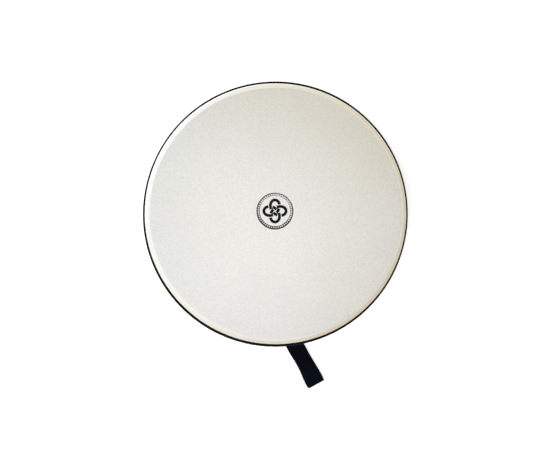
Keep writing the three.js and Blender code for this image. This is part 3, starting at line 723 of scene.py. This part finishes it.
# ----------------------------------------------------------------------- shell
sp = arc(SHELL_R - 1.0, BACK + 1.0, 1.0, -90, 0, 4) + [(SHELL_R, -60), (SHELL_R, -30), (SHELL_R, -12), (227.6, -9.2), (226.7, -6.9), (225.3, -5.2), (223.8, -4.4),
      (222.6, -4.3)] + arc(SHELL_IN + 0.9, -5.2, 0.9, 90, 180, 4) + [(SHELL_IN, -30), (SHELL_IN, -60)] + arc(SHELL_IN + 1.0, BACK + 1.0, 1.0, 180, 270, 4)
shell = lathe("shell_ply", sp, 512, M_SHELL, sharp=40)
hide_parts("shell")
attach(shell, "drum")

# ------------------------------------------------------------------- tone ring
tp = arc(207.5, -2.8, 1.5, 180, 90, 5) + [(212.5, -1.3)] + arc(217.0, -3.7, 2.4, 90, 0, 8) + [(219.4, -12)] \
    + arc(218.4, -18.3, 1.0, 0, -90, 4) + [(212, -19.3)] + arc(207.0, -18.3, 1.0, 270, 180, 4)
tone = lathe("tone_ring_ash", tp, 384, M_TONE, sharp=40)
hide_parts("tone_ring")
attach(tone, "tone_ring")


# ------------------------------------------------------------------- crossbar
def crossbar():
    w, h, r, zc = 15.0, 6.0, 3.5, -76.0
    sec = []
    for cx, cy, a0 in ((w - r, -h + r, -90), (w - r, h - r, 0), (-w + r, h - r, 90), (-w + r, -h + r, 180)):
        sec += arc(cx, cy, r, a0, a0 + 90, 7)
    sec = np.array(sec)
    extra = []
    for i in range(len(sec)):  # extra points across the wide faces
        a, b = sec[i], sec[(i + 1) % len(sec)]
        extra.append(a)
        if np.linalg.norm(b - a) > 4:
            extra += [a + (b - a) * k / 4 for k in (1, 2, 3)]
    sec = np.array(extra)
    m = len(sec)
    xs = np.linspace(-1, 1, 61)
    verts = []
    for q in xs:
        waist = 1.0 - 0.10 * (1 - min(1.0, (abs(q) / 0.32) ** 2)) ** 2 if abs(q) < 0.32 else 1.0
        for y, z in sec:
            yy = y * waist
            end = sqrt(220.55 ** 2 - yy ** 2)
            verts.append((q * end, yy, zc + z))
    faces = []
    for i in range(len(xs) - 1):
        for j in range(m):
            k = (j + 1) % m
            faces.append((i * m + j, i * m + k, (i + 1) * m + k, (i + 1) * m + j))
    faces.append(list(range(m))[::-1])
    faces.append([(len(xs) - 1) * m + j for j in range(m)])
    ob = new_object("crossbar_wood", verts, faces, M_BAR, sharp=50)
    face_out(ob)
    return ob


bar = crossbar()
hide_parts("crossbar")
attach(bar, "drum")


# -------------------------------------------------------------------- hardware
def button_screw(name, shank, head_r, head_h, key, length, material, thread_pitch):
    """Button head screw along X, the underside of its head at x = 0, with a hexagon recess and a turned thread."""
    prof = [(0, -length), (shank - 0.5, -length), (shank - 0.1, -length + 0.5)]
    z = -length + 0.7
    while z < -1.0:
        prof += [(shank, z), (shank - 0.30, z + thread_pitch * 0.45)]
        z += thread_pitch
    prof += [(shank, -0.6), (shank + 0.15, 0.0), (head_r - 0.15, 0.0), (head_r, 0.15)]
    rc = (head_r ** 2 + head_h ** 2) / (2 * head_h)
    top = radians(90) - math.acos((rc - head_h * 0.0 - head_h) / rc) if rc > head_h else 0
    for a in np.linspace(0, 1, 9)[1:]:
        rr = head_r * cos(a * pi / 2) ** 0.75
        zz = 0.35 + (head_h - 0.35) * sin(a * pi / 2)
        prof.append((max(rr, 0), zz))
    prof[-1] = (0, head_h)
    ob = lathe(name, prof, 32, material, closed=False, sharp=38)
    tool = prism("key_tool", 6, key / 2 / cos(pi / 6), head_h * 0.38, head_h + 2)
    carve(ob, tool)
    ob.data.transform(Matrix.Rotation(pi / 2, 4, "Y"))
    return ob


def bolt():
    """M6 socket cap screw along Z: rolled thread as a true helix, knurled head, hexagon socket facing the open back."""
    tip, shank_r, core = -19.6, 2.9, 2.42
    base = tip - 40.0
    n, per = 28, 6
    zs = np.arange(base + 8.0, tip - 0.9, 1.0 / per)
    ang = np.arange(n) * 2 * pi / n
    verts, faces = [], []

    def ringof(radii, z):
        s = len(verts)
        verts.extend([(r * cos(a), r * sin(a), z) for r, a in zip(np.broadcast_to(radii, (n,)), ang)])
        return s

    rows = [ringof(shank_r, base)]
    rows.append(ringof(shank_r, base + 7.6))
    for z in zs:
        ph = ((z - base) / 1.0 - ang / (2 * pi)) % 1.0
        rows.append(ringof(core + (shank_r - core) * (1 - np.abs(2 * ph - 1)) ** 0.8, z))
    rows.append(ringof(core, tip - 0.6))
    rows.append(ringof(core - 0.5, tip))
    for a, b in zip(rows, rows[1:]):
        for j in range(n):
            k = (j + 1) % n
            faces.append((a + j, a + k, b + k, b + j))
    faces.append([rows[0] + j for j in range(n)][::-1])
    faces.append([rows[-1] + j for j in range(n)])
    shank = new_object("bolt_shank", verts, faces, M_OXIDE, sharp=40)
    face_out(shank)
    # head with a knurl
    hv, hf = [], []
    m = 72
    an = np.arange(m) * 2 * pi / m
    levels = [(4.6, base - 6.0, 0), (4.95, base - 5.6, 0), (5.0, base - 5.1, 1), (5.0, base - 1.0, 1), (4.95, base - 0.6, 0), (4.7, base - 0.02, 0)]
    for r, z, kn in levels:
        rr = r - (0.16 * (np.arange(m) % 2) if kn else 0.08)
        hv += list(zip(rr * np.cos(an), rr * np.sin(an), np.full(m, z)))
    for i in range(len(levels) - 1):
        for j in range(m):
            k = (j + 1) % m
            hf.append((i * m + j, i * m + k, (i + 1) * m + k, (i + 1) * m + j))
    hf.append(list(range(m))[::-1])
    hf.append([(len(levels) - 1) * m + j for j in range(m)])
    cap = new_object("bolt_cap", hv, hf, M_OXIDE, sharp=30)
    face_out(cap)
    carve(cap, prism("socket_tool", 6, 2.5 / cos(pi / 6), base - 8, base - 2.6))
    # one object
    bpy.ops.object.select_all(action="DESELECT")
    for o in (cap, shank):
        o.select_set(True)
    bpy.context.view_layer.objects.active = shank
    bpy.ops.object.join()
    shank.name = shank.data.name = "bolt_master"
    return shank


def bracket():
    """Folded and welded steel station: plate against the wall, thick tapped flange, corner gusset."""
    flat_in = SHELL_IN * cos(pi / 56)
    x1 = flat_in - 0.3
    x0 = x1 - 3.0
    top, bot, ft, reach = -34.0, -66.0, 7.0, 204.5
    sec = [(x1, bot), (x1, top), (reach + 1.2, top), (reach, top - 1.2), (reach, top - ft + 1.2), (reach + 1.2, top - ft)]
    sec += [(x0 - 2.2 + 2.2 * sin(radians(t)), top - ft - 2.2 + 2.2 * cos(radians(t))) for t in (0, 30, 60, 90)]
    sec += [(x0, bot)]
    m = len(sec)
    verts = [(x, y, z) for y in (-12.0, 12.0) for x, z in sec]
    faces = [list(range(m)), [m + i for i in range(m)][::-1]] + [(i, m + i, m + (i + 1) % m, (i + 1) % m) for i in range(m)]
    ob = new_object("bracket_master", verts, faces, M_ZINC, sharp=30)
    face_out(ob)
    tool = prism("bolt_hole", 28, 3.25, -60, -20)
    tool.data.transform(Matrix.Translation((211.6 * MM, 0, 0)))
    carve(ob, tool)
    bevelled(ob, 0.7, 3, 40)
    ob.data.polygons.foreach_set("use_smooth", [True] * len(ob.data.polygons))
    ob.data.set_sharp_from_angle(angle=radians(40))
    return ob


def washer(name, r_in, r_out, t, material, dish=0.0):
    """Washer along X from x = 0, dished by dish, with rolled edges."""
    e = min(0.35, t * 0.3)
    prof = [(r_in, 0.15), (r_in, t + dish - e), (r_in + e, t + dish), (r_in + (r_out - r_in) * 0.45, t + dish * 0.75), (r_out - 0.9, t * 0.9 + 0.0), (r_out - e, t * 0.62), (r_out, t * 0.3), (r_out - 0.1, 0.0), (r_in + 0.2, 0.0)]
    ob = lathe(name, prof, 64, material, sharp=35)
    ob.data.transform(Matrix.Rotation(pi / 2, 4, "Y"))
    return ob


def place(ob, matrix, node, body):
    ob.matrix_world = matrix
    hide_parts(node)
    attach(ob, body)


flat_out = SHELL_R * cos(pi / 56)
m4 = button_screw("m4_master", 1.9, 3.9, 2.3, 2.5, 11, M_OXIDE, 0.7)
bolt_master = bolt()
bracket_master = bracket()
for k in range(8):
    az = 22.5 + 45 * k
    n_ = k + 1
    b = copy_of(bracket_master, f"bracket_{n_}")
    place(b, azimuth_matrix(az), f"tuning_bracket_{n_}", "drum")
    t = copy_of(bolt_master, f"bolt_{n_}_m6")
    place(t, azimuth_matrix(az, 211.6) @ Matrix.Rotation(0.7 * k, 4, "Z"), f"tuning_bolt_{n_}", f"bolt_{n_}")
    for c, z in zip("ab", (-45.5, -57.0)):
        s = copy_of(m4, f"screw_{n_}{c}")
        place(s, azimuth_matrix(az, flat_out + 0.3, z) @ Matrix.Rotation(0.9 * k + (c == "b") * 0.5, 4, "X"), f"bracket_screw_{n_}{c}", "drum")

bar_washer = washer("bar_washer_master", 2.6, 8.5, 1.2, M_ZINC, dish=0.0)
bar_screw = button_screw("bar_screw_master", 2.1, 4.6, 2.8, 3.0, 30, M_ZINC, 1.2)
for az, side in ((0, "right"), (180, "left")):
    w_ = copy_of(bar_washer, f"bar_washer_{side}")
    place(w_, azimuth_matrix(az, SHELL_R + 0.3, -76.0), f"crossbar_washer_{side}", "drum")
    s = copy_of(bar_screw, f"bar_screw_{side}")
    place(s, azimuth_matrix(az, SHELL_R + 1.8, -76.0) @ Matrix.Rotation(0.3 + az, 4, "X"), f"crossbar_screw_{side}", "drum")

# ----------------------------------------------------------------------- strap
ST_AZ, LEAN = 274.2, radians(24.3)
ST_N0, ST_ZF, ST_ZS, ST_R, ST_L, ST_TAB = 2.0, BACK + 1.9, BACK + 36.3, 12.0, 124.6, 13.0
NV = np.array([cos(radians(ST_AZ)), sin(radians(ST_AZ)), 0.0])
TV = np.array([-sin(radians(ST_AZ)), cos(radians(ST_AZ)), 0.0])
ST_WALL = ST_ZS - (ST_ZF + ST_R)
ST_ARC = ST_R * pi / 2


def strap_point(u, v, off):
    """Point of the strap at u along and v across it, off from its middle surface."""
    u, v, off = np.broadcast_arrays(np.asarray(u, float), v, off)
    t = u * sin(LEAN) + v * cos(LEAN)
    s = u * cos(LEAN) - v * sin(LEAN)
    a = np.clip((s - ST_WALL) / ST_R, 0, pi / 2)
    nn = ST_N0 + ST_R * (1 - np.cos(a)) + np.maximum(0, s - ST_WALL - ST_ARC)
    z = ST_ZF + ST_R * (1 - np.sin(a)) + np.maximum(0, ST_WALL - s)
    dn, dz = np.cos(a), np.sin(a)
    return (SHELL_R + nn + off * dn)[..., None] * NV + t[..., None] * TV + (z + off * dz)[..., None] * np.array([0, 0, 1.0])


def smoothstep(x, lo, hi):
    q = np.clip((np.asarray(x, float) - lo) / (hi - lo), 0, 1)
    return q * q * (3 - 2 * q)


def strap():
    half_w, half_t = 15.2, 0.62
    edge = np.array([0.0, 0.12, 0.30, 0.62])
    vs = np.concatenate([-half_w + edge, np.linspace(-half_w + 1.2, half_w - 1.2, 47), (half_w - edge)[::-1]])
    ht = half_t * np.sqrt(np.clip(1 - ((np.abs(vs) - (half_w - half_t)).clip(0) / half_t) ** 2, 0.03, 1))
    ht = ht * (1 + 0.05 * np.cos(vs * 2 * pi / 2.3))
    low = lambda u: -0.80 + 0 * np.asarray(u, float)
    high = lambda u: 0.80 + 1.5 * smoothstep(u, 56, 118) + 0.9 * np.exp(-((np.asarray(u, float) - 72) / 18) ** 2)
    spread = lambda u: vs * (1 + 0.025 * smoothstep(u, 100, 122))
    rf = float((high(ST_L) - low(ST_L)) / 2)
    mid = float((high(ST_L) + low(ST_L)) / 2)
    turn = ST_L + 0.5 - rf
    us = np.concatenate([np.linspace(-ST_TAB, 14, 28), np.linspace(14, turn, 108)[1:]])
    rows_out, rows_in, flats = [], [], []
    run = 0.0

    sway = [spline(q, 1.0) for q in (
        [(-13, 0), (20, 0), (45, -0.50), (54, -0.32), (62, 0.15), (70, 0.72), (79, 0.92), (88, 0.75), (96, 0.15), (104, -0.70), (113, -1.15), (121, -0.75), (126, -0.45)],
        [(-13, 0), (20, 0.3), (45, 0.90), (58, 1.05), (66, 0.92), (75, 1.08), (83, 1.40), (92, 1.85), (100, 2.20), (109, 2.35), (117, 2.20), (121, 1.80), (126, 1.40)])]

    def wave(u, layer):
        """Sideways wander of the two layers, 0 the lower and 1 the upper, as neither was sewn dead straight."""
        w = [np.interp(u, q[:, 0], q[:, 1]) for q in sway]
        return w[0] * (1 - layer) + w[1] * layer

    def lift(u, v, layer):
        """The upper layer cups a little across its width and lifts off the lower one."""
        return layer * 0.35 * smoothstep(u, 40, 90) * (1 - (v / half_w) ** 2)

    for u in us:
        o = float(low(u))
        v = spread(u) + wave(u, 0)
        rows_out.append(strap_point(u, v, o - ht))
        rows_in.append(strap_point(u, v, o + ht))
        flats.append(u + ST_TAB)
    base_run = flats[-1]
    for a in np.linspace(-pi / 2, pi / 2, 11)[1:-1]:
        q = (a + pi / 2) / pi
        v = spread(turn) + wave(turn, q)
        rows_out.append(strap_point(turn + (rf + ht) * cos(a), v, mid + (rf + ht) * sin(a)))
        rows_in.append(strap_point(turn + (rf - ht) * cos(a), v, mid + (rf - ht) * sin(a)))
        flats.append(base_run + rf * (a + pi / 2))
    top_run = base_run + rf * pi
    for u in us[::-1]:
        o = high(u) + lift(u, vs, 1)
        v = spread(u) + wave(u, 1)
        rows_out.append(strap_point(u, v, o + ht))
        rows_in.append(strap_point(u, v, o - ht))
        flats.append(top_run + (turn - u))
    ro, ri = np.array(rows_out), np.array(rows_in)
    K, m = ro.shape[:2]
    verts = np.concatenate([ro.reshape(-1, 3), ri.reshape(-1, 3)])
    fo = lambda k, j: k * m + j
    fi = lambda k, j: K * m + k * m + j
    faces = []
    for k in range(K - 1):
        for j in range(m - 1):
            faces.append((fo(k, j), fo(k, j + 1), fo(k + 1, j + 1), fo(k + 1, j)))
            faces.append((fi(k, j), fi(k + 1, j), fi(k + 1, j + 1), fi(k, j + 1)))
        faces.append((fo(k, 0), fo(k + 1, 0), fi(k + 1, 0), fi(k, 0)))
        faces.append((fo(k, m - 1), fi(k, m - 1), fi(k + 1, m - 1), fo(k + 1, m - 1)))
    for j in range(m - 1):
        faces.append((fo(0, j), fi(0, j), fi(0, j + 1), fo(0, j + 1)))
        faces.append((fo(K - 1, j), fo(K - 1, j + 1), fi(K - 1, j + 1), fi(K - 1, j)))
    ob = new_object("strap_webbing", verts, faces, M_WEB, sharp=60)
    face_out(ob)
    flat = np.zeros((len(verts), 3))
    along = np.repeat(np.array(flats), m)
    across = np.tile(vs, K)
    flat[:K * m, 0], flat[K * m:, 0] = along, along
    flat[:K * m, 1], flat[K * m:, 1] = across, across
    tree = KDTree(len(verts))
    for i, p in enumerate(verts):
        tree.insert(Vector(p * MM), i)
    tree.balance()
    hole = prism("strap_hole", 40, 3.2, -6, 12)
    spin = Matrix.Rotation(radians(ST_AZ), 4, "Z") @ Matrix.Translation((SHELL_R * MM, 0, ST_ZS * MM)) @ Matrix.Rotation(pi / 2, 4, "Y")
    hole.data.transform(spin)
    carve(ob, hole)
    ob.data.set_sharp_from_angle(angle=radians(60))
    at = ob.data.attributes.new("flat", "FLOAT_VECTOR", "POINT")
    vals = np.zeros((len(ob.data.vertices), 3), np.float32)
    for i, p in enumerate(ob.data.vertices):
        vals[i] = flat[tree.find(p.co)[1]]
    at.data.foreach_set("vector", vals.ravel())
    return ob, flats[-1]


web, web_length = strap()


def stitches():
    """Bar tacks that hold the two layers together under the washer, as separate thread passes lying on the webbing."""
    verts, faces = [], []
    hi = 0.80 + 0.62

    def pass_(p0, p1, r=0.24, n=7, sides=6):
        path = [p0 + (p1 - p0) * q for q in np.linspace(0, 1, n)]
        rise = [r * 1.1 * sin(pi * q) ** 0.4 - 0.12 if 0 < q < 1 else -0.3 for q in np.linspace(0, 1, n)]
        s = len(verts)
        d = (p1 - p0) / np.linalg.norm(p1 - p0)
        e = np.array([-d[1], d[0]])
        for p, h in zip(path, rise):
            for a in np.arange(sides) * 2 * pi / sides:
                q = p + e * r * cos(a)
                verts.append(strap_point(q[0], q[1], hi + h + r * sin(a)).tolist())
        for i in range(n - 1):
            for j in range(sides):
                k = (j + 1) % sides
                faces.append((s + i * sides + j, s + i * sides + k, s + (i + 1) * sides + k, s + (i + 1) * sides + j))
        faces.append([s + j for j in range(sides)][::-1])
        faces.append([s + (n - 1) * sides + j for j in range(sides)])

    for u0 in (15.2, 18.8):
        vv = np.arange(-11.0, 11.01, 0.62)
        for i in range(len(vv) - 1):
            a, b = (u0 - 0.9, u0 + 0.9) if i % 2 == 0 else (u0 + 0.9, u0 - 0.9)
            pass_(np.array([a, vv[i]]), np.array([b, vv[i + 1]]))
    # two rows along the selvedges on the tab
    for side in (-12.3, 12.3):
        for u in np.arange(-10.5, 13.0, 3.0):
            pass_(np.array([u, side]), np.array([u + 2.3, side]))
    ob = new_object("strap_stitching", verts, faces, M_THREAD, sharp=60)
    face_out(ob)
    return ob


thread = stitches()
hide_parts("strap_upper", "strap_tail")

strap_face = ST_N0 + 1.6 + 0.3
w_ = washer("strap_washer_dished", 2.8, 12.0, 1.5, M_OXIDE, dish=0.1)
place(w_, azimuth_matrix(ST_AZ, SHELL_R + strap_face, ST_ZS), "strap_washer", "drum")
s = button_screw("strap_screw_m5", 2.4, 4.8, 2.9, 3.0, 18, M_OXIDE, 0.8)
place(s, azimuth_matrix(ST_AZ, SHELL_R + strap_face + 1.9, ST_ZS), "strap_screw", "drum")
nut_x = SHELL_IN * cos(pi / 56) - 0.4
w_ = washer("nut_washer", 2.8, 6.5, 1.0, M_ZINC)
place(w_, azimuth_matrix(ST_AZ, nut_x - 1.0, ST_ZS), "strap_nut_washer", "drum")


def nut():
    ob = lathe("nut_m5", [(2.3, -0.2), (2.75, 0.0), (3.9, 0.0), (4.62, 0.45), (4.62, 3.55), (3.9, 4.0), (2.75, 4.0), (2.3, 3.8)], 6 * 8, M_ZINC, sharp=30)
    co = np.array([v.co for v in ob.data.vertices])
    r = np.hypot(co[:, 0], co[:, 1])
    a = np.arctan2(co[:, 1], co[:, 0])
    lim = 4.0 * MM / np.cos((a % (pi / 3)) - pi / 6)
    scale = np.minimum(1.0, lim / r)
    co[:, 0] *= scale
    co[:, 1] *= scale
    ob.data.vertices.foreach_set("co", co.ravel())
    ob.data.transform(Matrix.Rotation(pi / 2, 4, "Y"))
    ob.data.set_sharp_from_angle(angle=radians(25))
    return ob


nt_ = nut()
place(nt_, azimuth_matrix(ST_AZ, nut_x - 1.3 - 4.0, ST_ZS), "strap_nut", "drum")

for ob in (m4, bolt_master, bracket_master, bar_washer, bar_screw):
    bpy.data.objects.remove(ob, do_unlink=True)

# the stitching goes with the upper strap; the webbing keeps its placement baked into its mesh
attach(thread, "strap_upper")
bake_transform(web)

# --------------------------------------------------------------- floor, lights
fn = Nodes("floor")
soft = fn.noise(fn.obj, 1.2, 2.0, 0.5)
fn.set(Base_Color=fn.mix(fn.step(soft, 0.3, 0.7), (0.90, 0.90, 0.90), (0.93, 0.93, 0.93)), Roughness=0.9)
fn.bsdf.inputs["Specular IOR Level"].default_value = 0.0
fn.bsdf.inputs["Emission Color"].default_value = (1, 1, 1, 1)
fn.set(Emission_Strength=fn.step(fn.vec("LENGTH", fn.obj), 0.65, 1.5, 0.57, 0.98))
S = 12000
floor = new_object("floor", [(-S, -S, BACK), (S, -S, BACK), (S, S, BACK), (-S, S, BACK)], [(0, 1, 2, 3)], fn.mat, smooth=False)

world = bpy.data.worlds.new("studio")
scene.world = world
world.use_nodes = True
wt = world.node_tree
bg = wt.nodes["Background"]
bg.inputs[0].default_value = (0.985, 0.992, 1.0, 1)
up = wt.nodes.new("ShaderNodeSeparateXYZ")
wt.links.new(wt.nodes.new("ShaderNodeTexCoord").outputs["Generated"], up.inputs[0])
ramp = wt.nodes.new("ShaderNodeMapRange")
wt.links.new(up.outputs[2], ramp.inputs["Value"])
for key, value in (("From Min", 0.0), ("From Max", 0.945), ("To Min", 1.02), ("To Max", 0.02)):
    ramp.inputs[key].default_value = value
wt.links.new(ramp.outputs[0], bg.inputs[1])


def area(name, at, aim, size, power, colour, size_y=None):
    d = bpy.data.lights.new(name, "AREA")
    d.energy, d.color, d.size = power, colour, size
    if size_y:
        d.shape, d.size_y = "RECTANGLE", size_y
    o = bpy.data.objects.new(name, d)
    o.location = at
    o.rotation_euler = (Vector(aim) - Vector(at)).to_track_quat("-Z", "Y").to_euler()
    scene.collection.objects.link(o)
    return o


area("side_left", (-1.26, 0.97, 0.44), (0.0, 0.0, 0.0), 0.8, 16.5, (0.86, 0.94, 1.0))
area("side_low_left", (-0.60, -1.42, 0.45), (0.0, 0.0, 0.0), 0.8, 5.8, (1.0, 0.985, 0.94))
area("side_top", (0.15, 1.50, 0.42), (0.0, 0.0, 0.0), 0.8, 3.2, (1.0, 0.97, 0.88))
area("top_soft", (-0.45, -0.75, 1.90), (0.0, 0.0, 0.0), 1.3, 7.5, (1.0, 0.998, 0.992))
area("warm_fill", (1.30, 0.45, 0.60), (0.0, 0.0, 0.0), 0.9, 4.4, (1.0, 0.85, 0.60))
spot_data = bpy.data.lights.new("pool", "SPOT")
spot_data.energy, spot_data.color, spot_data.shadow_soft_size = 44.0, (1.0, 0.998, 0.99), 0.22
spot_data.spot_size, spot_data.spot_blend = radians(25), 1.0
spot = bpy.data.objects.new("pool", spot_data)
spot.location = (-0.35, -0.35, 1.70)
spot.rotation_euler = (Vector((-0.035, -0.06, 0.0)) - spot.location).to_track_quat("-Z", "Y").to_euler()
scene.collection.objects.link(spot)

scene.view_settings.view_transform = "Standard"
scene.view_settings.look = "None"
scene.view_settings.exposure = 0.0
scene.view_settings.gamma = 1.0

# ---------------------------------------------------------------------- camera
TILT, DIST, MM_PER_PX = 3.5, 1.30, 1.7395
cam_data = bpy.data.cameras.new("camera")
cam = bpy.data.objects.new("camera", cam_data)
scene.collection.objects.link(cam)
cam_data.sensor_width = 36.0
cam_data.lens = 36.0 * DIST / (550 * MM_PER_PX * MM)
aim_y = -(225 - 212.0) * MM_PER_PX * MM
cam.location = (-0.00085, aim_y - DIST * sin(radians(TILT)), DIST * cos(radians(TILT)))
cam.rotation_euler = (radians(TILT), 0.0, 0.0)
cam_data.clip_start, cam_data.clip_end = 0.05, 50.0
scene.camera = cam
